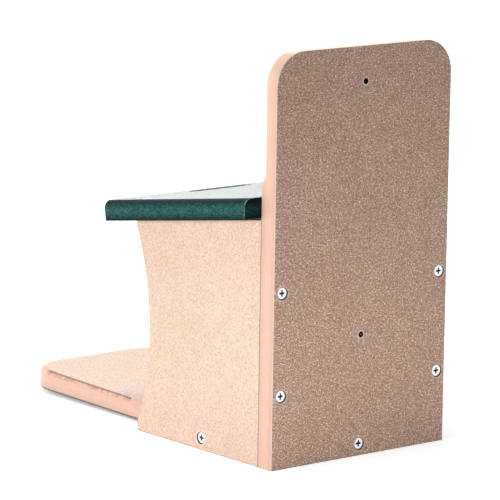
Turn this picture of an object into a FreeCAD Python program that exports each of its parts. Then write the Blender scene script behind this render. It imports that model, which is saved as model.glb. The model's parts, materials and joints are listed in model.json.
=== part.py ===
import FreeCAD, Part
import math
import os

# Squirrel feeder box: a tall back board, two side panels with a hollowed front edge, a floor
# that runs on forward as a feeding tray, a sloping hinged lid, and a clear window that slides
# in saw kerfs between the side panels.
#
# X is across the box, with the right-hand panel at +X. Z is up. The back board's bare face is
# at +Y and the tray reaches towards -Y. The origin is under the middle of the whole feeder.
# A depth is measured forward from the back board's front face, and a height from the base.

Vector = FreeCAD.Vector
Rotation = FreeCAD.Rotation
Placement = FreeCAD.Placement
X_AXIS = Vector(1, 0, 0)
Y_AXIS = Vector(0, 1, 0)
Z_AXIS = Vector(0, 0, 1)

# Driving dimensions, in millimetres and degrees

# The board that every tan and green piece is cut from
sheet = 15.875
edge_ease = 0.5

# The rounding bit: its cutting radius, and the pilot bearing that rides on the work's edge
round_over = 6.35
bearing_radius = 4.76

# Back board
body_width = 171.45
board_height = 313.0
board_corner_radius = 25.4
board_rounding_stop = 222.3
mount_hole_radius = 2.2
mount_hole_low = 93.7
mount_hole_top_inset = 26.7

# Side panels: an arc of this radius hollows the front edge between two short horns
waist_depth = 133.9
hollow_radius = 197.5
hollow_centre_height = 81.1
low_horn_height = 7.0
high_horn_height = 161.4
horn_lean = 0.8

# Floor and feeding tray, one board that rises a little towards the front
floor_length = 322.9
floor_pitch = 0.8
tray_corner_radius = 36.0

# The tray's rounding pass: how deep its square shoulder is at the tray's front, how much
# shallower it runs towards the box, in degrees, and where along the floor it starts
tray_step = 0.3
tray_rounding_tilt = 1.45
tray_rounding_start = 176.5

# Lid
lid_seat_height = 188.9
lid_slope = 8.43
lid_length = 171.5
lid_overhang = 15.5
lid_end_ease = 1.0
lid_back_gap = 1.0
groove_length = 60.3
groove_width = 12.7
groove_depth = 3.0
groove_setback = 18.0

# The closed lid's room above the side panels, at their front horns and at the back board
lid_seat_gap = 0.3
lid_heel_gap = 1.2

# Window and its kerfs
window_thickness = 3.175
window_top_gap = 12.0
window_seat_gap = 0.3
window_side_play = 0.4
kerf_width = 3.7
kerf_depth = 6.35
kerf_setback = 7.2

# Countersunk screws that hold the boards together. The fit is the room all round a screw.
screw_head_radius = 4.2
screw_shank_radius = 2.1
screw_length = 41.3
screw_rim = 0.25
screw_recess = 0.45
screw_fit = 0.1

# Every screw's pointed tip and cross socket, as shares of its shank and head radius
tip_share = 1.5
tip_flat_share = 0.25
socket_reach_share = 0.62
socket_wing_share = 0.17
socket_depth_share = 0.6

# Where the screws are: heights, and how far forward the ones in the side panels sit
upper_screw_height = 134.0
lower_screw_height = 56.0
floor_screw_height = 9.4
side_screw_depth = 68.3

# Continuous hinge between the lid and the back board
hinge_length = 127.0
knuckle_count = 10
knuckle_radius = 2.4
knuckle_gap = 0.3
leaf_thickness = 1.0
leaf_width = 13.5
leaf_notch_gap = 0.5
pin_radius = 1.0
pin_clearance = 0.05
hinge_screw_count = 4
hinge_screw_head_radius = 2.3
hinge_screw_shank_radius = 1.3
hinge_screw_length = 9.5
hinge_screw_rim = 0.1
hinge_screw_inset = 4.8

# How far a cutting shape stands clear of the work that it cuts
overcut = 1.0

# Worked-out places
half_body = body_width / 2
half_inner = half_body - sheet
panel_middle = half_body - sheet / 2
half_lid = half_body + lid_overhang
tray_reach = floor_length * math.cos(math.radians(floor_pitch))
back_y = (sheet + tray_reach) / 2
face_y = back_y - sheet
slope_tangent = math.tan(math.radians(lid_slope))
slope_cosine = math.cos(math.radians(lid_slope))
pitch_tangent = math.tan(math.radians(floor_pitch))
pitch_cosine = math.cos(math.radians(floor_pitch))
kerf_front_depth = waist_depth - kerf_setback
kerf_back_depth = kerf_front_depth - kerf_width
kerf_middle_depth = kerf_front_depth - kerf_width / 2
axis_offset = knuckle_radius + knuckle_gap


def lid_underside(depth):
    """Height of the closed lid's lower face at a depth."""
    return lid_seat_height - depth * slope_tangent


def panel_top(depth, gap):
    """Height of a side panel's sloping top edge at a depth, this far under the closed lid."""
    return lid_underside(depth) - gap / slope_cosine


def lid_top(depth):
    """Height of the closed lid's upper face at a depth."""
    return lid_underside(depth) + sheet / slope_cosine


def floor_top(depth):
    """Height of the floor's upper face at a depth."""
    return depth * pitch_tangent + sheet / pitch_cosine


def hollow_depth(height):
    """Depth of the side panel's hollowed front edge at a height."""
    drop = math.sqrt(hollow_radius ** 2 - (height - hollow_centre_height) ** 2)
    return waist_depth + hollow_radius - drop


window_bottom = floor_top(kerf_front_depth) + window_seat_gap
window_top = lid_underside(kerf_front_depth) - window_top_gap
axis_y = face_y - axis_offset
axis_z = lid_top(axis_offset) + axis_offset / slope_cosine


# Shapes that several pieces share

def polygon_face(points):
    """Flat face inside a closed run of straight lines."""
    return Part.Face(Part.makePolygon(points + [points[0]]))


def box_between(low, high):
    """Box from its lowest corner to its highest corner."""
    size = high - low
    return Part.makeBox(size.x, size.y, size.z, low)


def rounding_section(edge_x, edge_y, step):
    """Section of what the rounding bit takes off an edge that runs along Y.

    The work's face is at z = 0 and its edge at edge_x, with the material on the smaller x side.
    A step is how far the bit is set below the face, which leaves a small square shoulder.
    """
    outside = edge_x + bearing_radius
    inside = edge_x - round_over
    arc_top = Vector(inside, edge_y, -step)
    arc_foot = Vector(edge_x, edge_y, -step - round_over)
    bulge = round_over * (1 - math.cos(math.pi / 4))
    arc_middle = Vector(edge_x - bulge, edge_y, -step - bulge)
    over = Vector(inside, edge_y, overcut)
    over_outside = Vector(outside, edge_y, overcut)
    foot_outside = Vector(outside, edge_y, arc_foot.z)
    edges = [
        Part.makeLine(over, arc_top),
        Part.Arc(arc_top, arc_middle, arc_foot).toShape(),
        Part.makeLine(arc_foot, foot_outside),
        Part.makeLine(foot_outside, over_outside),
        Part.makeLine(over_outside, over),
    ]
    return Part.Face(Part.Wire(edges))


def rounding_run(half_width, start, reach, corner_radius, step):
    """What the bit takes off two sides and the far end of a board, from y = start to y = reach.

    The board's face is at z = 0. At each end of the run the bit is lifted away, which leaves
    its own round shape there as a run-out.
    """
    corner_y = reach - corner_radius
    first = rounding_section(half_width, start, step)
    side = first.extrude(Vector(0, corner_y - start, 0))
    run_out = first.revolve(Vector(half_width + bearing_radius, start, 0), Z_AXIS, 360)
    turn_centre = Vector(half_width - corner_radius, corner_y, 0)
    last = rounding_section(half_width, corner_y, step)
    corner = last.revolve(turn_centre, Z_AXIS, 90)
    across = last.rotated(turn_centre, Z_AXIS, 90)
    end = across.extrude(Vector(-2 * turn_centre.x, 0, 0))
    waste = [side, run_out, corner]
    mirrored = [shape.mirror(Vector(0, 0, 0), X_AXIS) for shape in waste]
    return waste + mirrored + [end]


def rounded_blank(half_width, reach, corner_radius):
    """Flat board from y = 0 to y = reach under z = 0, with its two far corners rounded."""
    blank = box_between(Vector(-half_width, 0, -sheet), Vector(half_width, reach, 0))
    far_corners = []
    for edge in blank.Edges:
        middle = edge.CenterOfMass
        stands_up = abs(edge.Vertexes[0].Z - edge.Vertexes[1].Z) > sheet / 2
        if stands_up and middle.y > reach / 2:
            far_corners.append(edge)
    return blank.makeFillet(corner_radius, far_corners)


def edges_on_plane(shape, axis_index, value):
    """Edges that lie flat on the plane where one coordinate has this value."""
    found = []
    for edge in shape.Edges:
        samples = [vertex.Point for vertex in edge.Vertexes] + [edge.CenterOfMass]
        if all(abs(point[axis_index] - value) < 1e-4 for point in samples):
            found.append(edge)
    return found


def screw_blank(head_radius, shank_radius, length, rim):
    """Countersunk screw along -Z, with its head's top at z = 0 and a cross socket in it."""
    cone_foot = -rim - (head_radius - shank_radius)
    profile = [
        Vector(0, 0, 0),
        Vector(head_radius, 0, 0),
        Vector(head_radius, 0, -rim),
        Vector(shank_radius, 0, cone_foot),
        Vector(shank_radius, 0, -length + shank_radius * tip_share),
        Vector(shank_radius * tip_flat_share, 0, -length),
        Vector(0, 0, -length),
    ]
    body = polygon_face(profile).revolve(Vector(0, 0, 0), Z_AXIS, 360)
    reach = head_radius * socket_reach_share
    wing = head_radius * socket_wing_share
    depth = head_radius * socket_depth_share
    taper = Part.makeCone(wing, reach + wing, depth + overcut, Vector(0, 0, -depth))
    bar = box_between(Vector(-head_radius, -wing, -depth), Vector(head_radius, wing, overcut))
    cross = bar.fuse(bar.rotated(Vector(0, 0, 0), Z_AXIS, 90))
    return body.cut(cross.common(taper))


def screw_hole(head_radius, shank_radius, length, rim, mouth):
    """Hole for such a screw, with its 45 degree countersink carried on up to z = mouth."""
    shank = shank_radius + screw_fit
    cone_foot = -rim - (head_radius - shank_radius)
    tip = -length - screw_fit
    profile = [
        Vector(0, 0, mouth),
        Vector(head_radius + screw_fit + rim + mouth, 0, mouth),
        Vector(shank, 0, cone_foot),
        Vector(shank, 0, tip + shank_radius * tip_share),
        Vector(shank * tip_flat_share, 0, tip),
        Vector(0, 0, tip),
    ]
    return polygon_face(profile).revolve(Vector(0, 0, 0), Z_AXIS, 360)


# The two sizes of screw: head and shank radius, length and rim
body_screw_size = (screw_head_radius, screw_shank_radius, screw_length, screw_rim)
hinge_screw_size = (
    hinge_screw_head_radius, hinge_screw_shank_radius, hinge_screw_length, hinge_screw_rim
)

# Where each screw sits: its head's middle, and the turn that points +Z out of the board

facing_back = Rotation(X_AXIS, -90)
facing_front = Rotation(X_AXIS, 90)
facing_right = Rotation(Y_AXIS, 90)
facing_left = Rotation(Y_AXIS, -90)
head_y = back_y - screw_recess
head_x = half_body - screw_recess

body_screws = {
    "back_screw_upper_right": Placement(Vector(panel_middle, head_y, upper_screw_height), facing_back),
    "back_screw_upper_left": Placement(Vector(-panel_middle, head_y, upper_screw_height), facing_back),
    "back_screw_lower_right": Placement(Vector(panel_middle, head_y, lower_screw_height), facing_back),
    "back_screw_lower_left": Placement(Vector(-panel_middle, head_y, lower_screw_height), facing_back),
    "back_floor_screw": Placement(Vector(0, head_y, floor_screw_height), facing_back),
    "side_floor_screw_right": Placement(
        Vector(head_x, face_y - side_screw_depth, floor_screw_height), facing_right
    ),
    "side_floor_screw_left": Placement(
        Vector(-head_x, face_y - side_screw_depth, floor_screw_height), facing_left
    ),
}


def placed(shape, placement):
    """Copy of a shape, moved to a placement."""
    moved = shape.copy()
    moved.Placement = placement
    return moved


body_screw_hole = screw_hole(*body_screw_size, screw_recess)
body_screw_holes = [placed(body_screw_hole, place) for place in body_screws.values()]

lid_turn = Rotation(X_AXIS, lid_slope).multiply(Rotation(Z_AXIS, 180))
lid_origin = Vector(0, face_y, lid_top(0))
lid_placement = Placement(lid_origin, lid_turn)


def hinge_frame(toward_lid):
    """Placement of a leaf: Y runs away from the pin along the leaf, Z out of what it lies on."""
    if toward_lid:
        return Placement(Vector(0, axis_y, axis_z), lid_turn)
    return Placement(Vector(0, axis_y, axis_z), facing_front)


def hinge_screw_set(toward_lid, shape):
    """Copies of a shape at the screws of one leaf, in order from left to right."""
    frame = hinge_frame(toward_lid)
    spacing = hinge_length / hinge_screw_count
    row_y = leaf_width - hinge_screw_inset
    head_z = leaf_thickness - axis_offset - screw_fit
    places = []
    for index in range(hinge_screw_count):
        x = (index - (hinge_screw_count - 1) / 2) * spacing
        places.append(frame.multVec(Vector(x, row_y, head_z)))
    places.sort(key=lambda place: place.x)
    return [placed(shape, Placement(place, frame.Rotation)) for place in places]


def hinge_screw_holes(toward_lid):
    """Holes for the screws of one leaf, through the leaf and on into the board under it."""
    return hinge_screw_set(toward_lid, screw_hole(*hinge_screw_size, screw_fit))


# The pieces

def back_board():
    """Tall board that everything hangs on, rounded over on its front edges above the lid."""
    blank = rounded_blank(half_body, board_height, board_corner_radius)
    blank = blank.makeFillet(edge_ease, edges_on_plane(blank, 2, -sheet))
    waste = rounding_run(half_body, board_rounding_stop, board_height, board_corner_radius, 0)
    board = placed(blank.cut(waste), Placement(Vector(0, face_y, 0), facing_front))
    holes = list(body_screw_holes)
    for height in (mount_hole_low, board_height - mount_hole_top_inset):
        start = Vector(0, face_y - overcut, height)
        holes.append(Part.makeCylinder(mount_hole_radius, sheet + 2 * overcut, start, Y_AXIS))
    return board.cut(holes + hinge_screw_holes(False))


def side_panel(side):
    """Side panel: side is 1 for the right-hand one and -1 for the left-hand one."""
    low_tip = hollow_depth(low_horn_height)
    high_tip = hollow_depth(high_horn_height)
    top_corner = high_tip - horn_lean
    outline = [
        (0, 0),
        (low_tip - horn_lean, 0),
        (low_tip, low_horn_height),
        (high_tip, high_horn_height),
        (top_corner, panel_top(top_corner, lid_seat_gap)),
        (0, panel_top(0, lid_heel_gap)),
    ]
    corners = [Vector(half_inner, face_y - depth, height) for depth, height in outline]
    waist = Vector(half_inner, face_y - waist_depth, hollow_centre_height)
    edges = [
        Part.makeLine(corners[0], corners[1]),
        Part.makeLine(corners[1], corners[2]),
        Part.Arc(corners[2], waist, corners[3]).toShape(),
        Part.makeLine(corners[3], corners[4]),
        Part.makeLine(corners[4], corners[5]),
        Part.makeLine(corners[5], corners[0]),
    ]
    panel = Part.Face(Part.Wire(edges)).extrude(Vector(sheet, 0, 0))
    panel = panel.makeFillet(edge_ease, edges_on_plane(panel, 0, half_body))
    kerf = box_between(
        Vector(half_inner - overcut, face_y - kerf_front_depth, window_bottom - window_seat_gap),
        Vector(half_inner + kerf_depth, face_y - kerf_back_depth, lid_seat_height),
    )
    panel = panel.cut(kerf)
    if side < 0:
        panel = panel.mirror(Vector(0, 0, 0), X_AXIS)
    return panel.cut(body_screw_holes)


def floor_tray():
    """Floor of the box and the tray in front of it, cut from one board."""
    blank = rounded_blank(half_inner, floor_length, tray_corner_radius)
    blank = blank.makeFillet(edge_ease, edges_on_plane(blank, 2, -sheet))
    waste = rounding_run(half_inner, tray_rounding_start, floor_length, tray_corner_radius, tray_step)
    front = Vector(0, floor_length, 0)
    board = blank.cut([shape.rotated(front, X_AXIS, -tray_rounding_tilt) for shape in waste])
    turn = Rotation(X_AXIS, -floor_pitch).multiply(Rotation(Z_AXIS, 180))
    lift = turn.multVec(Vector(0, 0, sheet))
    board = placed(board, Placement(Vector(0, face_y, 0) + lift, turn))
    behind = box_between(
        Vector(-body_width, face_y, -sheet),
        Vector(body_width, face_y + 3 * sheet, 3 * sheet),
    )
    return board.cut([behind] + body_screw_holes)


def lid_board():
    """Sloping lid, rounded over along its two sides, with a finger groove near the front."""
    front = lid_length + lid_back_gap / slope_cosine + sheet * slope_tangent
    tail = 2 * sheet
    blank = box_between(Vector(-half_lid, -tail, -sheet), Vector(half_lid, front, 0))
    section = rounding_section(half_lid, -tail - overcut, 0)
    side = section.extrude(Vector(0, front + tail + 2 * overcut, 0))
    blank = blank.cut([side, side.mirror(Vector(0, 0, 0), X_AXIS)])
    blank = blank.makeFillet(lid_end_ease, edges_on_plane(blank, 1, front))
    groove_y = front - groove_setback
    half_straight = (groove_length - groove_width) / 2
    groove = box_between(
        Vector(-half_straight, groove_y - groove_width / 2, -groove_depth),
        Vector(half_straight, groove_y + groove_width / 2, overcut),
    )
    for end_x in (-half_straight, half_straight):
        centre = Vector(end_x, groove_y, -groove_depth)
        groove = groove.fuse(Part.makeCylinder(groove_width / 2, groove_depth + overcut, centre))
    board = placed(blank.cut(groove), lid_placement)
    behind = box_between(
        Vector(-body_width, face_y - lid_back_gap, 0),
        Vector(body_width, face_y + 3 * sheet, board_height),
    )
    board = board.cut(behind)
    board = board.makeFillet(lid_end_ease, edges_on_plane(board, 1, face_y - lid_back_gap))
    return board.cut(hinge_screw_holes(True))


def window_sheet():
    """Clear sheet that stands on the floor with its two edges in the kerfs."""
    half_width = half_inner + kerf_depth - window_side_play
    middle_y = face_y - kerf_middle_depth
    return box_between(
        Vector(-half_width, middle_y - window_thickness / 2, window_bottom),
        Vector(half_width, middle_y + window_thickness / 2, window_top),
    )


def hinge_leaf(toward_lid):
    """One leaf of the continuous hinge, with every second knuckle of the row.

    The lid's leaf is laid end for end, so with an even row of knuckles the leaves are twins.
    """
    pitch = hinge_length / knuckle_count
    length = pitch - knuckle_gap
    plate_z = -axis_offset
    first_own = knuckle_count % 2 if toward_lid else 0
    half_length = hinge_length / 2
    plate = box_between(
        Vector(-half_length, knuckle_radius + leaf_notch_gap, plate_z),
        Vector(half_length, leaf_width, plate_z + leaf_thickness),
    )
    barrels = []
    bores = []
    for index in range(first_own, knuckle_count, 2):
        start = Vector(-half_length + index * pitch + knuckle_gap / 2, 0, 0)
        barrels.append(Part.makeCylinder(knuckle_radius, length, start, X_AXIS))
        bores.append(Part.makeCylinder(pin_radius + pin_clearance, length, start, X_AXIS))
        root = Vector(length, knuckle_radius + 2 * leaf_notch_gap, leaf_thickness)
        foot = start + Vector(0, 0, plate_z)
        barrels.append(box_between(foot, foot + root))
    leaf = plate.fuse(barrels).removeSplitter().cut(bores)
    leaf = placed(leaf, hinge_frame(toward_lid))
    return leaf.cut(hinge_screw_holes(toward_lid))


def hinge_pin():
    """Wire that runs through every knuckle, with its two ends slightly rounded."""
    start = Vector(-hinge_length / 2, axis_y, axis_z)
    pin = Part.makeCylinder(pin_radius, hinge_length, start, X_AXIS)
    rims = [edge for edge in pin.Edges if len(edge.Vertexes) == 1]
    return pin.makeFillet(pin_radius / 3, rims)


pieces = {
    "back_board": back_board(),
    "side_panel_right": side_panel(1),
    "side_panel_left": side_panel(-1),
    "floor_tray": floor_tray(),
    "lid_board": lid_board(),
    "window_sheet": window_sheet(),
    "hinge_leaf_board": hinge_leaf(False),
    "hinge_leaf_lid": hinge_leaf(True),
    "hinge_pin": hinge_pin(),
}

for name, place in body_screws.items():
    pieces[name] = placed(screw_blank(*body_screw_size), place)

for leaf_name, toward_lid in (("board", False), ("lid", True)):
    screws = hinge_screw_set(toward_lid, screw_blank(*hinge_screw_size))
    for number, screw in enumerate(screws, start=1):
        pieces["hinge_screw_" + leaf_name + "_" + str(number)] = screw

os.makedirs("parts", exist_ok=True)
for name, shape in pieces.items():
    shape.exportStep("parts/" + name + ".step")
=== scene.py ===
import json
import math
from collections import namedtuple

import bpy
from mathutils import Matrix, Vector


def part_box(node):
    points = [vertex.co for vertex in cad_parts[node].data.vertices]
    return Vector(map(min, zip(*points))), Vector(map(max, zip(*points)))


# Squirrel feeder box, dressed for the photograph's view. Lengths are in metres, in the CAD frame:
# X across the box, Z up, the back board's bare face at +Y and the tray reaching towards -Y.

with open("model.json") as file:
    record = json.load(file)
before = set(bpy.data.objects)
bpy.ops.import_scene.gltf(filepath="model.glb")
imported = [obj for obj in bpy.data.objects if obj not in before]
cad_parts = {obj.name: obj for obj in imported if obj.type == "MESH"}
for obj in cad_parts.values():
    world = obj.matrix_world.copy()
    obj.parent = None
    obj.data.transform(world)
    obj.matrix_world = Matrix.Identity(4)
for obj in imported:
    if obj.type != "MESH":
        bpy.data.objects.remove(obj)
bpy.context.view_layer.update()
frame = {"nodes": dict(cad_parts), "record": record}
nodes = frame["nodes"]

# Sizes and places of the CAD model that the painted detail follows

MM = 0.001
X_AXIS = Vector((1.0, 0.0, 0.0))
Y_AXIS = Vector((0.0, 1.0, 0.0))
Z_AXIS = Vector((0.0, 0.0, 1.0))

# The back board's front face, and the thickness of every board
FACE_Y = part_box("back_board")[0].y
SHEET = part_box("back_board")[1].y - FACE_Y

# The tray and the lid: their slopes, and a point that each one's lower face holds
FLOOR_PITCH = math.radians(0.8)
LID_SLOPE = math.radians(8.43)
ACROSS_FLOOR = Vector((0.0, math.sin(FLOOR_PITCH), math.cos(FLOOR_PITCH)))
ACROSS_LID = Vector((0.0, -math.sin(LID_SLOPE), math.cos(LID_SLOPE)))
FLOOR_SEAT = Vector((0.0, FACE_Y, 0.0))
LID_SEAT = Vector((0.0, FACE_Y, 0.1889))

# The tray's rounded long edge, from its front corner to where it runs out
TRAY_CORNER_Y = -0.132
TRAY_RUN_OUT_Y = -0.023

# The feeder's own screws that show, and the radius of their countersinks
COUNTERSINK_RADIUS = 0.0049
BACK_SCREWS = [name for name in nodes if name.startswith(("back_screw", "back_floor_screw"))]
SIDE_SCREWS = [name for name in nodes if name.startswith("side_floor_screw")]

# The two holes for wall screws, one above the other, from the record's mount
WALL_SCREWS = next(mount for mount in frame["record"]["mounts"] if mount["name"] == "wall_screws")
HALF_SPACING = WALL_SCREWS["dims"]["spacing_y_mm"] * MM / 2
LOWER_HOLE = Vector(WALL_SCREWS["pos_m"]) - HALF_SPACING * Z_AXIS
UPPER_HOLE = Vector(WALL_SCREWS["pos_m"]) + HALF_SPACING * Z_AXIS
BORE_RADIUS = WALL_SCREWS["dims"]["hole_r_mm"] * MM


# Shader helpers. A named pair of numbers is the two ends of a spread, unless its own comment says more.

# Where most of a noise lies
MOST_NOISE = (0.3, 0.7)
# Half the width over which a round mark fades out
RIM_BLUR = 0.0001


def new_material(name):
    """Material and its empty node tree."""
    material = bpy.data.materials.new(name)
    material.use_nodes = True
    material.node_tree.nodes.clear()
    return material, material.node_tree


def add(tree, kind, settings=None, **inputs):
    """Shader node with some settings, and with values or other nodes' sockets on its inputs."""
    made = tree.nodes.new("ShaderNode" + kind)
    for name, value in (settings or {}).items():
        setattr(made, name, value)
    for name, value in inputs.items():
        plug(tree, made.inputs[name.replace("_", " ")], value)
    return made


def plug(tree, socket, value):
    """Joins a socket to another node's socket, or sets its value."""
    if isinstance(value, bpy.types.NodeSocket):
        tree.links.new(value, socket)
    else:
        socket.default_value = value


def plug_all(tree, sockets, values):
    """Fills a node's sockets in turn."""
    for socket, value in zip(sockets, values):
        plug(tree, socket, value)


def maths(tree, operation, *values):
    """Result of one sum on one to three numbers."""
    made = add(tree, "Math", {"operation": operation})
    plug_all(tree, made.inputs, values)
    return made.outputs[0]


def product(tree, *factors):
    """Several numbers multiplied together."""
    total = factors[0]
    for factor in factors[1:]:
        total = maths(tree, "MULTIPLY", total, factor)
    return total


def inverse(tree, share):
    """What a share leaves of 1."""
    return maths(tree, "SUBTRACT", 1.0, share)


def away_from(tree, value, middle):
    """How far a number is from another one."""
    return maths(tree, "ABSOLUTE", maths(tree, "SUBTRACT", value, middle))


def spread(tree, value, low, high, to_low=0.0, to_high=1.0):
    """Value carried smoothly from one range to another, and held at its ends."""
    made = add(
        tree, "MapRange", {"interpolation_type": "SMOOTHSTEP"},
        Value=value, From_Min=low, From_Max=high, To_Min=to_low, To_Max=to_high,
    )
    return made.outputs[0]


def above(tree, value, low, high, most=1.0):
    """Nothing up to a low value, and the most from a high one on."""
    return spread(tree, value, low, high, 0.0, most)


def below(tree, value, low, high, most=1.0):
    """The most up to a low value, and nothing from a high one on."""
    return spread(tree, value, low, high, most, 0.0)


def noise(tree, where, scale, detail=2.0, roughness=0.5, distortion=0.0):
    """Noise from 0 to 1, with about this many lumps to a metre."""
    made = add(
        tree, "TexNoise",
        Vector=where, Scale=scale, Detail=detail, Roughness=roughness, Distortion=distortion,
    )
    return made.outputs[0]


def swing(tree, pattern, amount):
    """Factor that follows a noise, and strays from 1 by an amount either way."""
    return spread(tree, pattern, *MOST_NOISE, 1.0 - amount, 1.0 + amount)


def between(tree, share, first, second):
    """Number that goes from a first to a second one with a share."""
    made = add(tree, "Mix", {"data_type": "FLOAT"})
    factor, low, high = (made.inputs[index] for index in (0, 2, 3))
    plug_all(tree, (factor, low, high), (share, first, second))
    return made.outputs[0]


def mixed(tree, share, first, second, mode="MIX"):
    """Mix of two colours."""
    made = add(tree, "Mix", {"data_type": "RGBA", "blend_type": mode})
    factor, lower, upper = (made.inputs[index] for index in (0, 6, 7))
    plug_all(tree, (factor, lower, upper), (share, first, second))
    return made.outputs[2]


def colour(red, green, blue):
    """Colour with full strength."""
    return (red, green, blue, 1.0)


def grey(tree, value):
    """Colour with the same amount of red, green and blue."""
    return add(tree, "CombineColor", Red=value, Green=value, Blue=value).outputs[0]


def shaded(tree, base, *shares):
    """Colour multiplied by one or more numbers."""
    return mixed(tree, 1.0, base, grey(tree, product(tree, *shares)), "MULTIPLY")


def vector_maths(tree, operation, *values):
    """Node for one sum on one or two vectors."""
    made = add(tree, "VectorMath", {"operation": operation})
    plug_all(tree, made.inputs, values)
    return made


def dot(tree, first, second):
    """Dot product of two vectors."""
    return vector_maths(tree, "DOT_PRODUCT", first, second).outputs["Value"]


def facing(tree, normal, direction):
    """How squarely a surface faces along a direction, either way: 1 for square on."""
    return maths(tree, "ABSOLUTE", dot(tree, normal, direction))


def object_place(tree):
    """The point's place in its object, which stays with a piece that moves."""
    return add(tree, "TexCoord").outputs["Object"]


def object_normal(tree):
    """The surface's direction in its object."""
    return add(tree, "TexCoord").outputs["Normal"]


def axes_of(tree, place):
    """The three coordinates of a place."""
    return add(tree, "SeparateXYZ", Vector=place).outputs


def stretched(tree, place, scale, turn=(0.0, 0.0, 0.0)):
    """Place turned and scaled along each axis, for noise that is drawn out one way."""
    return add(tree, "Mapping", Vector=place, Rotation=turn, Scale=scale).outputs[0]


def within(tree, place, centre, axis, radius):
    """1 round an axis, and 0 beyond a radius."""
    offset = vector_maths(tree, "SUBTRACT", place, centre).outputs["Vector"]
    square = vector_maths(tree, "CROSS_PRODUCT", offset, axis).outputs["Vector"]
    distance = vector_maths(tree, "LENGTH", square).outputs["Value"]
    return below(tree, distance, radius - RIM_BLUR, radius + RIM_BLUR)


# Board finishes, in these terms:
# face and edge: colours of the pressed sheet faces and of the milled edges
# grit: the face's grains to a metre; squash: how much closer they lie upwards than sideways
# stipple and fleck: how far the grains and the bright flecks stray from the face's colour
# mottle and streak: how far the edge's mottle and its fine lines stray from the edge's colour
# crown: how far the painted highlight in an edge's middle and the painted shade at its arrises stray from
# its colour; emboss: height of the grains
# rough and edge_rough: roughness of faces and edges; gloss: specular level; ior: index of refraction
# dust: sheen of the faces; bores: holes with no gloss in them

TAN_EDGE = colour(0.59, 0.372, 0.276)
# The tray's edges are the tan edge colour made a little darker: painted shade
SHADED_TRAY_EDGE = colour(0.57, 0.353, 0.262)
# The back board's face is darker and deeper in hue than the side panels' face: painted shade, as the back
# faces away from the key lamp
SHADED_BACK_FINISH = {
    "face": colour(0.494, 0.254, 0.151), "edge": TAN_EDGE,
    "grit": 1150.0, "squash": 1.3, "stipple": 0.24, "fleck": 0.31,
    "mottle": 0.015, "streak": 0.04, "crown": 0.07, "emboss": 0.00007,
    "rough": 0.45, "edge_rough": 0.35, "gloss": 0.5, "ior": 1.49,
    "dust": 0.0, "bores": [LOWER_HOLE, UPPER_HOLE],
}
SIDE_FINISH = {
    "face": colour(0.612, 0.437, 0.327), "edge": TAN_EDGE,
    "grit": 1000.0, "squash": 0.8, "stipple": 0.086, "fleck": 0.072,
    "mottle": 0.015, "streak": 0.04, "crown": 0.07, "emboss": 0.00005,
    "rough": 0.42, "edge_rough": 0.35, "gloss": 0.5, "ior": 1.49,
    "dust": 0.0, "bores": [],
}
TRAY_FINISH = {
    "face": colour(0.605, 0.433, 0.323), "edge": SHADED_TRAY_EDGE,
    "grit": 650.0, "squash": 1.0, "stipple": 0.028, "fleck": 0.02,
    "mottle": 0.02, "streak": 0.05, "crown": 0.07, "emboss": 0.00002,
    "rough": 0.25, "edge_rough": 0.35, "gloss": 0.5, "ior": 1.49,
    "dust": 0.0, "bores": [],
}
LID_FINISH = {
    "face": colour(0.010, 0.060, 0.055), "edge": colour(0.0088, 0.0400, 0.0388),
    "grit": 1150.0, "squash": 1.0, "stipple": 0.07, "fleck": 0.1,
    "mottle": 0.07, "streak": 0.025, "crown": 0.65, "emboss": 0.00009,
    "rough": 0.12, "edge_rough": 0.3, "gloss": 0.06, "ior": 1.3,
    "dust": 0.38, "bores": [],
}

# Board material: how a board's colour, bumps and gloss follow its finish

# How squarely a surface faces where a milled edge turns into a sheet face
SQUARE_ON = (0.93, 0.985)
# How fast a colour's hue weakens as the colour gets lighter
PALING = 2.1
GRAIN_RANGE = (0.34, 0.66)
FLECK_LUMPS = 620.0
FLECK_RANGE = (0.62, 0.72)
PATCH_LUMPS = 70.0
PATCH_RANGE = (0.35, 0.65)
PATCH_SWING = 0.03
CLOUD_LUMPS = 11.0
CLOUD_SWING = 0.02
PINKISH = colour(1.0, 0.985, 0.98)
YELLOWISH = colour(0.99, 1.0, 0.985)
# Lumps to a metre along an edge, and the extra ones across it
LINE_LUMPS = (60.0, 1500.0)
MOTTLE_LUMPS = (180.0, 400.0)
# Across an edge, from its middle out past its arrises, where the painted highlight turns into painted
# shade
PAINTED_CROWN_LIGHT_REACH = (0.0, 1.1)
EDGE_CROWN = 0.0006
LINE_HEIGHT = 0.00001
ROUGH_SWING = 0.05
BORE_SHADE_RADIUS = BORE_RADIUS + 0.0002
DUST_TINT = colour(0.95, 0.99, 1.0)
DUST_ROUGHNESS = 0.3

# What painted detail can follow: the tree, the point's place and normal, its coordinates, and its share
# of the board's thickness
Spot = namedtuple("Spot", "tree place normal x y z share")


def toned(base, level):
    """Colour at another level: deeper in hue where it is darker, and paler where it is lighter."""
    depth = 1.0 - PALING * (level - 1.0)
    return colour(*[level * part ** depth for part in base[:3]])


def drawn_out(tree, place, across, along_lumps, extra_lumps):
    """Place for noise that has extra lumps to a metre across a sheet, and so looks like lines."""
    return stretched(tree, place, [along_lumps + extra_lumps * abs(part) for part in across])


def depth_share(tree, place, across, low_face):
    """Where a point lies in a board's thickness: -1 at the lower face and 1 at the upper one."""
    from_middle = maths(tree, "SUBTRACT", dot(tree, place, across), across.dot(low_face) + SHEET / 2)
    return maths(tree, "DIVIDE", from_middle, SHEET / 2)


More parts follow.
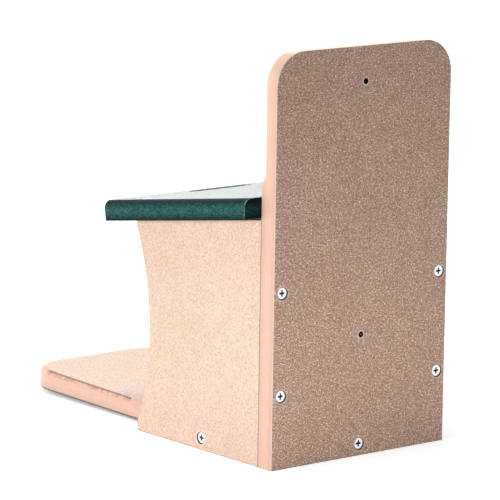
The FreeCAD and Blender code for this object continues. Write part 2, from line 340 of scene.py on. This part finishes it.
def face_colour(tree, place, squashed, worms, finish):
    """Pressed face: worm-like grains, bright flecks, and faint patches of another tint."""
    dark = toned(finish["face"], 1.0 - finish["stipple"])
    pale = toned(finish["face"], 1.0 + finish["stipple"])
    brightest = toned(finish["face"], 1.0 + finish["fleck"])
    flecks = noise(tree, squashed, FLECK_LUMPS, detail=0.0)
    patches = noise(tree, place, PATCH_LUMPS, detail=3.0)
    clouds = noise(tree, place, CLOUD_LUMPS, detail=1.0)
    face = mixed(tree, spread(tree, worms, *GRAIN_RANGE), dark, pale)
    face = mixed(tree, spread(tree, flecks, *FLECK_RANGE), face, brightest)
    face = shaded(tree, face, swing(tree, clouds, CLOUD_SWING), swing(tree, patches, PATCH_SWING))
    tint = mixed(tree, spread(tree, patches, *PATCH_RANGE), PINKISH, YELLOWISH)
    return mixed(tree, 1.0, face, tint, "MULTIPLY")


def edge_colour(tree, place, across, share, lines, finish):
    """Milled edge: a fine mottle, lines along it, and a painted highlight in its middle with painted
    shade at its arrises.
    """
    dark = toned(finish["edge"], 1.0 - finish["mottle"])
    pale = toned(finish["edge"], 1.0 + finish["mottle"])
    mottle = noise(tree, drawn_out(tree, place, across, *MOTTLE_LUMPS), 1.0, detail=4.0, roughness=0.7)
    off_middle = maths(tree, "ABSOLUTE", share)
    crown = spread(tree, off_middle, *PAINTED_CROWN_LIGHT_REACH, 1.0 + finish["crown"], 1.0 - finish["crown"])
    edge = mixed(tree, spread(tree, mottle, *MOST_NOISE), dark, pale)
    return shaded(tree, edge, crown, swing(tree, lines, finish["streak"]))


def board_bump(tree, on_face, share, worms, lines, finish):
    """Bumps: the grains of the faces, and the crown and the fine lines of the edges."""
    grain_height = maths(tree, "MULTIPLY", worms, finish["emboss"])
    crown = product(tree, share, share, -EDGE_CROWN)
    edge_height = maths(tree, "MULTIPLY_ADD", lines, LINE_HEIGHT, crown)
    height = between(tree, on_face, edge_height, grain_height)
    return add(tree, "Bump", Strength=1.0, Distance=1.0, Height=height).outputs[0]


def board_gloss(tree, place, across, finish):
    """Specular level, which drops to nothing inside the bores."""
    gloss = finish["gloss"]
    for centre in finish["bores"]:
        outside = inverse(tree, within(tree, place, centre, across, BORE_SHADE_RADIUS))
        gloss = maths(tree, "MULTIPLY", gloss, outside)
    return gloss


def board_material(name, across, low_face, finish, detail):
    """Board whose sheet faces are square to a direction, and whose lower face holds a point."""
    material, tree = new_material(name)
    place = object_place(tree)
    normal = object_normal(tree)
    on_face = spread(tree, facing(tree, normal, across), *SQUARE_ON)
    share = depth_share(tree, place, across, low_face)
    squashed = stretched(tree, place, (1.0, 1.0, finish["squash"]))
    worms = noise(tree, squashed, finish["grit"], detail=2.0, roughness=0.6, distortion=0.4)
    lines = noise(tree, drawn_out(tree, place, across, *LINE_LUMPS), 1.0, detail=2.0)

    face = face_colour(tree, place, squashed, worms, finish)
    edge = edge_colour(tree, place, across, share, lines, finish)
    spot = Spot(tree, place, normal, *axes_of(tree, place), share)
    base = detail(spot, mixed(tree, on_face, edge, face))

    face_rough = spread(
        tree, worms, *MOST_NOISE, finish["rough"] - ROUGH_SWING, finish["rough"] + ROUGH_SWING
    )
    shader = add(
        tree, "BsdfPrincipled",
        Base_Color=base,
        Roughness=between(tree, on_face, finish["edge_rough"], face_rough),
        Normal=board_bump(tree, on_face, share, worms, lines, finish),
        IOR=finish["ior"],
        Specular_IOR_Level=board_gloss(tree, place, across, finish),
    )
    if finish["dust"]:
        dust = maths(tree, "MULTIPLY", on_face, finish["dust"])
        plug(tree, shader.inputs["Sheen Weight"], dust)
        plug(tree, shader.inputs["Sheen Roughness"], DUST_ROUGHNESS)
        plug(tree, shader.inputs["Sheen Tint"], DUST_TINT)
    add(tree, "OutputMaterial", Surface=shader.outputs[0])
    return material


# Painted detail that several boards have: real marks, painted shade and painted highlights

# Pale tone of a real scratch, and of painted highlights on arrises and tops
RUBBED_AND_LIT = colour(0.85, 0.7, 0.6)
# Dark brown of a burnt line, and of painted shade in joints and along the base
SCORCH_AND_SHADE = colour(0.16, 0.085, 0.055)
# Painted shade along the base: how high it reaches and how strong it is
BASE_SHADE_TOP = (0.0002, 0.0009)
BASE_SHADE = 0.55
# Painted shade deep in bores and under the tray's lower arris
DEEP_SHADE = colour(0.02, 0.01, 0.008)
HOLE_RING = colour(1.0, 0.76, 0.66)
# Painted shade on countersink walls
COUNTERSINK_SHADE = colour(0.03, 0.015, 0.01)
LIP_WIDTH = 0.001
FAINT_LIP = 0.35
# How far the painted shade on a countersink's wall lies from the middle of its screw
LOPSIDED = Vector((-0.0004, -0.0004, -0.0004))


def around(spot, base, centre, axis, radius, tone, amount):
    """Mixes a tone in round an axis, out to a radius."""
    near = maths(spot.tree, "MULTIPLY", within(spot.tree, spot.place, centre, axis, radius), amount)
    return mixed(spot.tree, near, base, tone)


def lipped(spot, base, centre, axis, radius, tone, lip):
    """A bore with painted shade in it and a pale lip round it."""
    base = around(spot, base, centre, axis, radius + LIP_WIDTH, HOLE_RING, lip)
    return around(spot, base, centre, axis, radius, tone, 1.0)


def countersunk(spot, base, names, axis):
    """Painted shade on the countersink walls that show below and beside the recessed screw heads."""
    for name in names:
        low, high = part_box(name)
        centre = (low + high) / 2 + LOPSIDED
        base = lipped(spot, base, centre, axis, COUNTERSINK_RADIUS, COUNTERSINK_SHADE, FAINT_LIP)
    return base


def painted_base_shade(spot, base):
    """Painted shade: a thin dark line along the arris that stands on the ground."""
    return mixed(spot.tree, below(spot.tree, spot.z, *BASE_SHADE_TOP, BASE_SHADE), base, SCORCH_AND_SHADE)


# Back board: a scratch, painted highlights on the rear arris and the level top, painted shade in the
# joint below the lid and on the slanted rounding, and the holes

SCRATCH_X = 0.0415
SCRATCH_Z = 0.2215
SCRATCH_WAVER = 0.003
SCRATCH_RIM = (0.0001, 0.0006)
SCRATCH_END = (0.009, 0.013)
SCRATCH_AMOUNT = (0.2, 0.8)
WAVER_LUMPS = 60.0
GAP_LUMPS = 500.0
GAP_RANGE = (0.35, 0.55)
TURNED_AWAY = (0.9, 0.97)
# Painted shade of the joint at the front arris below the lid, and the painted highlight on the rear arris
FRONT_ARRIS = (-0.96, -0.9)
REAR_ARRIS = (0.88, 0.94)
JOINT_TOP_Z = (0.184, 0.187)
JOINT_SHADE = 0.5
# Painted highlight on the rear arris, painted shade on the slanted rounding of the top, and painted
# highlight on its level top
ARRIS_HIGHLIGHT = 0.5
SLANTED = (0.1, 0.6)
SLANT_SHADE = 0.26
LEVEL_TOP = (0.88, 0.995)
TOP_HIGHLIGHT = 0.75
# Where light falls on the lower bore's wall
LIT_SPOT = LOWER_HOLE + Vector((-0.0021, -0.0026, -0.0006))
LIT_SPOT_RIM = (0.0006, 0.0009)
LIT_WALL = colour(0.95, 0.72, 0.58)


def scratch(spot):
    """A wavering upright scratch with gaps in it."""
    tree = spot.tree
    waver = maths(tree, "MULTIPLY", noise(tree, spot.place, WAVER_LUMPS), SCRATCH_WAVER)
    from_line = away_from(tree, spot.x, maths(tree, "ADD", waver, SCRATCH_X))
    return product(
        tree,
        below(tree, from_line, *SCRATCH_RIM),
        below(tree, away_from(tree, spot.z, SCRATCH_Z), *SCRATCH_END),
        spread(tree, noise(tree, spot.place, GAP_LUMPS), *GAP_RANGE, *SCRATCH_AMOUNT),
    )


def back_edges(spot, base):
    """Painted shade in the joint below the lid and on the top's slanted rounding, and painted highlights
    on the rear arris and the level top.
    """
    tree = spot.tree
    on_edge = below(tree, facing(tree, spot.normal, Y_AXIS), *TURNED_AWAY)
    level = facing(tree, spot.normal, Z_AXIS)
    joint = product(
        tree, on_edge,
        below(tree, spot.share, *FRONT_ARRIS, JOINT_SHADE), below(tree, spot.z, *JOINT_TOP_Z),
    )
    base = mixed(tree, joint, base, SCORCH_AND_SHADE)
    arris = product(tree, on_edge, above(tree, spot.share, *REAR_ARRIS, ARRIS_HIGHLIGHT))
    base = mixed(tree, arris, base, RUBBED_AND_LIT)
    slanted = product(tree, on_edge, above(tree, level, *SLANTED, SLANT_SHADE))
    base = shaded(tree, base, inverse(tree, slanted))
    top = product(tree, on_edge, above(tree, level, *LEVEL_TOP, TOP_HIGHLIGHT))
    return mixed(tree, top, base, RUBBED_AND_LIT)


def back_detail(spot, base):
    """The scratch, the edges, painted shade in the countersinks and in two bores, and a painted spot of
    light on the lower bore's wall.
    """
    tree = spot.tree
    base = mixed(tree, scratch(spot), base, RUBBED_AND_LIT)
    base = back_edges(spot, base)
    base = countersunk(spot, base, BACK_SCREWS, Y_AXIS)
    for centre in (LOWER_HOLE, UPPER_HOLE):
        base = lipped(spot, base, centre, Y_AXIS, BORE_SHADE_RADIUS, DEEP_SHADE, 1.0)
    from_spot = vector_maths(tree, "DISTANCE", spot.place, LIT_SPOT).outputs["Value"]
    base = mixed(tree, below(tree, from_spot, *LIT_SPOT_RIM), base, LIT_WALL)
    return painted_base_shade(spot, base)


# Side panels: painted light in a warmer band below the lid, and pinker towards the bottom

UPPER_BAND = (0.11, 0.16)
LOWER_BAND = (0.02, 0.05)
# Painted light just below the lid, and a pinker tone towards the bottom
UPPER_PAINTED_LIGHT = colour(1.07, 1.01, 1.03)
LOWER_BLUSH = colour(1.0, 0.95, 0.975)
# Painted shade in the joint against the back board
BACK_JOINT_Y = (FACE_Y - 0.0008, FACE_Y - 0.0003)
BACK_JOINT_SHADE = 0.6


def side_detail(spot, base):
    """Painted shade in the joint against the back board, painted light below the lid, a pinker band
    towards the bottom, and painted shade in the countersink and along the base.
    """
    tree = spot.tree
    base = mixed(tree, above(tree, spot.y, *BACK_JOINT_Y, BACK_JOINT_SHADE), base, SCORCH_AND_SHADE)
    base = mixed(tree, above(tree, spot.z, *UPPER_BAND), base, UPPER_PAINTED_LIGHT, "MULTIPLY")
    base = mixed(tree, below(tree, spot.z, *LOWER_BAND), base, LOWER_BLUSH, "MULTIPLY")
    base = countersunk(spot, base, SIDE_SCREWS, X_AXIS)
    return painted_base_shade(spot, base)


# Tray: the rounding bit's marks, at depths below its upper face, and painted shade on its lower arris

SMUDGE = colour(0.35, 0.20, 0.145)
SCUFF_TINT = colour(0.76, 0.77, 0.97)
RUN_OUT_Y = (TRAY_RUN_OUT_Y - 0.001, TRAY_RUN_OUT_Y)
CORNER_Y = (TRAY_CORNER_Y - 0.01, TRAY_CORNER_Y)
CORNER_AMOUNT = 0.1
TOP_SKIN = (0.00003, 0.0001)
BURN_END = (0.0008, 0.0016)
BURN_RANGE = (0.3, 0.6)
BURN_AMOUNT = (0.7, 0.95)
SMUDGE_START = (0.0004, 0.0012)
SMUDGE_END = (0.0018, 0.0045)
SMUDGE_RANGE = (0.38, 0.58)
SMUDGE_AMOUNT = 0.9
# Painted shade on the lower arris
UNDER_ARRIS = (SHEET - 0.0016, SHEET - 0.0009)
UNDER_SHADE = 0.9
WANDER_LUMPS = 160.0
SCUFF_LUMPS = (90.0, 700.0, 90.0)
SCUFF_TURN = (0.0, 0.0, 0.6)
SCUFF_RANGE = (0.35, 0.6)
SCUFF_AMOUNT = (0.25, 1.0)
SCUFF_X = (0.046, 0.066)
SCUFF_Y = (TRAY_RUN_OUT_Y - 0.044, TRAY_RUN_OUT_Y - 0.006)


def tray_detail(spot, base):
    """A burnt line and smudges along the edge, scuffs at the bit's run-out, and painted shade on the
    lower arris.
    """
    tree = spot.tree
    depth = maths(tree, "MULTIPLY", inverse(tree, spot.share), SHEET / 2)
    wander = noise(tree, spot.place, WANDER_LUMPS, detail=3.0)
    along = product(
        tree,
        below(tree, spot.y, *RUN_OUT_Y), spread(tree, spot.y, *CORNER_Y, CORNER_AMOUNT, 1.0),
    )
    smudges = product(
        tree, along,
        above(tree, depth, *SMUDGE_START), below(tree, depth, *SMUDGE_END),
        above(tree, wander, *SMUDGE_RANGE, SMUDGE_AMOUNT),
    )
    base = mixed(tree, smudges, base, SMUDGE)
    burnt = product(
        tree, along,
        above(tree, depth, *TOP_SKIN), below(tree, depth, *BURN_END),
        spread(tree, wander, *BURN_RANGE, *BURN_AMOUNT),
    )
    base = mixed(tree, burnt, base, SCORCH_AND_SHADE)
    arcs = noise(tree, stretched(tree, spot.place, SCUFF_LUMPS, SCUFF_TURN), 1.0, detail=2.0)
    scuffs = product(
        tree,
        spread(tree, arcs, *SCUFF_RANGE, *SCUFF_AMOUNT), below(tree, depth, *TOP_SKIN),
        above(tree, maths(tree, "ABSOLUTE", spot.x), *SCUFF_X), above(tree, spot.y, *SCUFF_Y),
    )
    base = mixed(tree, scuffs, base, SCUFF_TINT, "MULTIPLY")
    return mixed(tree, above(tree, depth, *UNDER_ARRIS, UNDER_SHADE), base, DEEP_SHADE)


# Lid: painted shade on the ends and the upper rounding, worn paint with a painted highlight on the end
# arrises, and pale specks

# Painted shade on the ends and on the upper rounding
END_ON = (0.85, 0.97)
END_SHADE = 0.55
UPPER_ROUNDING = (0.1, 0.8)
ROUNDING_SHADE = 0.6
# Worn paint and a painted highlight on the eased arrises of the ends
WORN_AND_LIT_START = (0.25, 0.4)
WORN_AND_LIT_END = (0.6, 0.8)
WORN_AND_LIT_LUMPS = 700.0
WORN_AND_LIT_RANGE = (0.42, 0.58)
WORN_AND_LIT_AMOUNT = (0.1, 0.9)
WORN_PAINT_AND_HIGHLIGHT = colour(0.35, 0.42, 0.40)
SPECK_MIDDLE = -0.1
SPECK_REACH = (0.4, 0.8)
SPECK_LUMPS = 820.0
SPECK_RANGE = (0.64, 0.72)
SPECK_AMOUNT = 0.55
SPECK_ON_END = 0.2
PALE_SPECK = colour(0.12, 0.26, 0.24)


def lid_detail(spot, base):
    """Painted shade on the ends and the upper rounding, specks, and paler end arrises: worn paint and a
    painted highlight.
    """
    tree = spot.tree
    end_on = facing(tree, spot.normal, Y_AXIS)
    base = shaded(
        tree, base,
        spread(tree, end_on, *END_ON, 1.0, END_SHADE),
        spread(tree, spot.share, *UPPER_ROUNDING, 1.0, ROUNDING_SHADE),
    )
    specks = product(
        tree,
        above(tree, noise(tree, spot.place, SPECK_LUMPS, detail=1.0), *SPECK_RANGE, SPECK_AMOUNT),
        below(tree, away_from(tree, spot.share, SPECK_MIDDLE), *SPECK_REACH),
        spread(tree, end_on, *END_ON, 1.0, SPECK_ON_END),
    )
    base = mixed(tree, specks, base, PALE_SPECK)
    worn_and_lit = product(
        tree,
        above(tree, end_on, *WORN_AND_LIT_START), below(tree, end_on, *WORN_AND_LIT_END),
        spread(tree, noise(tree, spot.place, WORN_AND_LIT_LUMPS), *WORN_AND_LIT_RANGE, *WORN_AND_LIT_AMOUNT),
    )
    return mixed(tree, worn_and_lit, base, WORN_PAINT_AND_HIGHLIGHT)


# The clear window

CLEAR_COLOUR = colour(0.93, 0.97, 0.97)
CLEAR_IOR = 1.49
WINDOW_SCRATCH_LUMPS = (900.0, 900.0, 40.0)
WINDOW_SCRATCH_TURN = (0.0, 0.5, 0.0)
WINDOW_SCRATCH_RANGE = (0.5, 0.75)
WINDOW_ROUGHNESS = (0.03, 0.16)
WINDOW_BUMP = 0.1
MARK_HEIGHT = 0.0001


def marked(tree, marks, strength):
    """Bumps of fine marks."""
    return add(tree, "Bump", Strength=strength, Distance=MARK_HEIGHT, Height=marks).outputs[0]


def clear_material():
    """Clear plastic sheet with a few fine scratches."""
    material, tree = new_material("clear_sheet")
    place = stretched(tree, object_place(tree), WINDOW_SCRATCH_LUMPS, WINDOW_SCRATCH_TURN)
    scratches = noise(tree, place, 1.0, detail=4.0, roughness=0.7)
    shader = add(
        tree, "BsdfPrincipled",
        Base_Color=CLEAR_COLOUR,
        Roughness=spread(tree, scratches, *WINDOW_SCRATCH_RANGE, *WINDOW_ROUGHNESS),
        Normal=marked(tree, scratches, WINDOW_BUMP),
        IOR=CLEAR_IOR,
        Transmission_Weight=1.0,
    )
    add(tree, "OutputMaterial", Surface=shader.outputs[0])
    return material


# Screws and hinge. A screw's name starts with its kind, and all screws of a kind face outward alike.

HINGE_FINISH = {
    "colour": colour(0.56, 0.57, 0.58), "lumps": (120.0, 3000.0, 3000.0), "rough": (0.32, 0.46),
}
SCREW_FINISH = {
    "colour": colour(0.80, 0.80, 0.80), "lumps": (2500.0, 2500.0, 2500.0), "rough": (0.22, 0.34),
}
OUTWARD = {
    "back_": Y_AXIS, "side_floor_screw_right": X_AXIS, "side_floor_screw_left": -X_AXIS,
    "hinge_screw_board": -Y_AXIS, "hinge_screw_lid": ACROSS_LID,
}
STEEL_TONE = (0.9, 1.05)
STEEL_BUMP = 0.15
SPOT_LUMPS = 700.0
# How deep below the heads the sockets get painted shade
SOCKET_FLOOR = 0.0002
SOCKET_RIM = 0.00003
SOCKET_SHADE = colour(0.012, 0.012, 0.012)


def steel_material(name, finish, heads=None):
    """Plated steel with fine marks. Heads say which way screw heads face and how far out they are; what
    lies deeper gets painted shade.
    """
    material, tree = new_material(name)
    place = object_place(tree)
    marks = noise(tree, stretched(tree, place, finish["lumps"]), 1.0, detail=3.0, roughness=0.6)
    spots = noise(tree, place, SPOT_LUMPS, detail=2.0)
    base = shaded(tree, finish["colour"], spread(tree, marks, *MOST_NOISE, *STEEL_TONE))
    if heads:
        outward, level = heads
        # Painted shade in the sockets
        deep = below(tree, dot(tree, place, outward), level - SOCKET_FLOOR, level - SOCKET_RIM)
        base = mixed(tree, deep, base, SOCKET_SHADE)
    shader = add(
        tree, "BsdfPrincipled",
        Base_Color=base,
        Roughness=spread(tree, spots, *MOST_NOISE, *finish["rough"]),
        Normal=marked(tree, marks, STEEL_BUMP),
        Metallic=1.0,
    )
    add(tree, "OutputMaterial", Surface=shader.outputs[0])
    return material


def is_screw(name, kind):
    """Whether a node is a screw of this kind."""
    return "screw" in name and name.startswith(kind)


def head_level(node, outward):
    """How far out a screw's head is."""
    return max(outward.dot(vertex.co) for vertex in node.data.vertices)


def screw_material(kind):
    """Steel for the screws of one kind, with painted shade where it lies deeper than their heads."""
    outward = OUTWARD[kind]
    level = max(head_level(node, outward) for name, node in nodes.items() if is_screw(name, kind))
    return steel_material(kind + "steel", SCREW_FINISH, (outward, level))


# Each node gets its material

BOARDS = {
    "back_board": board_material(
        "tan_back_shaded", Y_AXIS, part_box("back_board")[0], SHADED_BACK_FINISH, back_detail
    ),
    "side_panel_right": board_material(
        "tan_right", X_AXIS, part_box("side_panel_right")[0], SIDE_FINISH, side_detail
    ),
    "side_panel_left": board_material(
        "tan_left", X_AXIS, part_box("side_panel_left")[0], SIDE_FINISH, side_detail
    ),
    "floor_tray": board_material(
        "tan_tray", ACROSS_FLOOR, FLOOR_SEAT, TRAY_FINISH, tray_detail
    ),
    "lid_board": board_material(
        "green_lid", ACROSS_LID, LID_SEAT, LID_FINISH, lid_detail
    ),
}
CLEAR = clear_material()
HINGE_STEEL = steel_material("hinge_steel", HINGE_FINISH)
SCREWS = {kind: screw_material(kind) for kind in OUTWARD}


def material_for(name):
    """Material of a node."""
    if name in BOARDS:
        return BOARDS[name]
    if name == "window_sheet":
        return CLEAR
    if "screw" in name:
        return next(SCREWS[kind] for kind in OUTWARD if is_screw(name, kind))
    return HINGE_STEEL


for name, node in nodes.items():
    node.data.materials.clear()
    node.data.materials.append(material_for(name))

# The floor, the surroundings and the lamps

WHITE = colour(1.0, 1.0, 1.0)
FLOOR_HALF = 8.0
FLOOR_GREY = colour(0.55, 0.55, 0.55)
FLOOR_GLOW = 0.66
GLOW_REACH = (0.3, 1.6)
MIRRORED_WHITE = colour(1.0, 1.015, 1.06)
COVER_HEIGHT = 0.04
COVER_SAMPLES = 8
COVERED = (0.0, 0.1)
COVERED_GLOW = 0.15
AMBIENT = 0.15
LAMP_AIM = Vector((0.0, 0.05, 0.12))


def seen_rays(tree):
    """1 for camera, glossy and transmission rays, which all see the white background."""
    rays = add(tree, "LightPath").outputs
    seen = maths(tree, "MAXIMUM", rays["Is Camera Ray"], rays["Is Glossy Ray"])
    return maths(tree, "MAXIMUM", seen, rays["Is Transmission Ray"])


def floor_material():
    """Matt floor with a glow that grows to white further off, and is low close under the tray, as its
    shade.
    """
    material, tree = new_material("floor")
    away = vector_maths(tree, "LENGTH", object_place(tree)).outputs["Value"]
    cover = add(tree, "AmbientOcclusion", {"samples": COVER_SAMPLES}, Distance=COVER_HEIGHT).outputs["AO"]
    strength = product(
        tree,
        seen_rays(tree),
        spread(tree, away, *GLOW_REACH, FLOOR_GLOW, 1.0),
        spread(tree, cover, *COVERED, COVERED_GLOW, 1.0),
    )
    mirrored = add(tree, "LightPath").outputs["Is Glossy Ray"]
    tint = mixed(tree, mirrored, WHITE, MIRRORED_WHITE)
    matt = add(tree, "BsdfDiffuse", Color=FLOOR_GREY)
    glow = add(tree, "Emission", Color=tint, Strength=strength)
    both = add(tree, "AddShader")
    plug_all(tree, both.inputs, (matt.outputs[0], glow.outputs[0]))
    add(tree, "OutputMaterial", Surface=both.outputs[0])
    return material


def floor_plane():
    """Square floor under the feeder."""
    mesh = bpy.data.meshes.new("floor")
    corners = [(FLOOR_HALF * x, FLOOR_HALF * y, 0.0) for x, y in ((-1, -1), (1, -1), (1, 1), (-1, 1))]
    mesh.from_pydata(corners, [], [(0, 1, 2, 3)])
    mesh.materials.append(floor_material())
    plane = bpy.data.objects.new("floor", mesh)
    bpy.context.scene.collection.objects.link(plane)


def surroundings():
    """White where it is seen, and a little light from all sides."""
    world = bpy.data.worlds.new("studio")
    bpy.context.scene.world = world
    world.use_nodes = True
    tree = world.node_tree
    tree.nodes.clear()
    level = maths(tree, "MAXIMUM", seen_rays(tree), AMBIENT)
    background = add(tree, "Background", Color=WHITE, Strength=level)
    add(tree, "OutputWorld", Surface=background.outputs[0])


def softbox(name, place, power, width, height):
    """Rectangular area lamp that looks at the middle of the box."""
    lamp = bpy.data.lights.new(name, "AREA")
    lamp.shape = "RECTANGLE"
    lamp.energy = power
    lamp.size = width
    lamp.size_y = height
    holder = bpy.data.objects.new(name, lamp)
    holder.location = place
    aim = LAMP_AIM - Vector(place)
    holder.rotation_euler = aim.to_track_quat("-Z", "Y").to_euler()
    holder.visible_camera = False
    holder.visible_glossy = False
    bpy.context.scene.collection.objects.link(holder)


floor_plane()
surroundings()
softbox("key", place=(2.4, 0.1, 0.45), power=47.0, width=0.8, height=0.6)
softbox("overhead", place=(0.3, -0.45, 2.3), power=80.0, width=1.8, height=1.8)
softbox("fill", place=(0.06, 0.40, 0.03), power=0.20, width=0.4, height=0.06)

# The photograph's camera: where it looks, from how far, and which way round

VIEW_AZIMUTH = math.radians(140.638233)
VIEW_ELEVATION = math.radians(10.482629)
VIEW_ROLL = math.radians(0.835031)
VIEW_DISTANCE = 2.62637
VIEW_TARGET = Vector((0.109276, 0.169372, 0.170012))
SENSOR_MM = 36.0
FOCAL_PIXELS = 3593.964
PHOTO_PIXELS = 500


def photo_camera():
    """Camera at the photograph's viewing angle."""
    back = Vector((
        math.sin(VIEW_AZIMUTH) * math.cos(VIEW_ELEVATION),
        -math.cos(VIEW_AZIMUTH) * math.cos(VIEW_ELEVATION),
        math.sin(VIEW_ELEVATION),
    ))
    level_right = Z_AXIS.cross(back).normalized()
    level_up = back.cross(level_right)
    right = math.cos(VIEW_ROLL) * level_right + math.sin(VIEW_ROLL) * level_up
    up = back.cross(right)
    turn = Matrix((right, up, back)).transposed().to_4x4()
    data = bpy.data.cameras.new("photo_camera")
    data.sensor_width = SENSOR_MM
    data.lens = SENSOR_MM * FOCAL_PIXELS / PHOTO_PIXELS
    camera = bpy.data.objects.new("photo_camera", data)
    camera.matrix_world = Matrix.Translation(VIEW_TARGET + back * VIEW_DISTANCE) @ turn
    bpy.context.scene.collection.objects.link(camera)
    bpy.context.scene.camera = camera


photo_camera()
bpy.context.scene.view_settings.view_transform = "Standard"
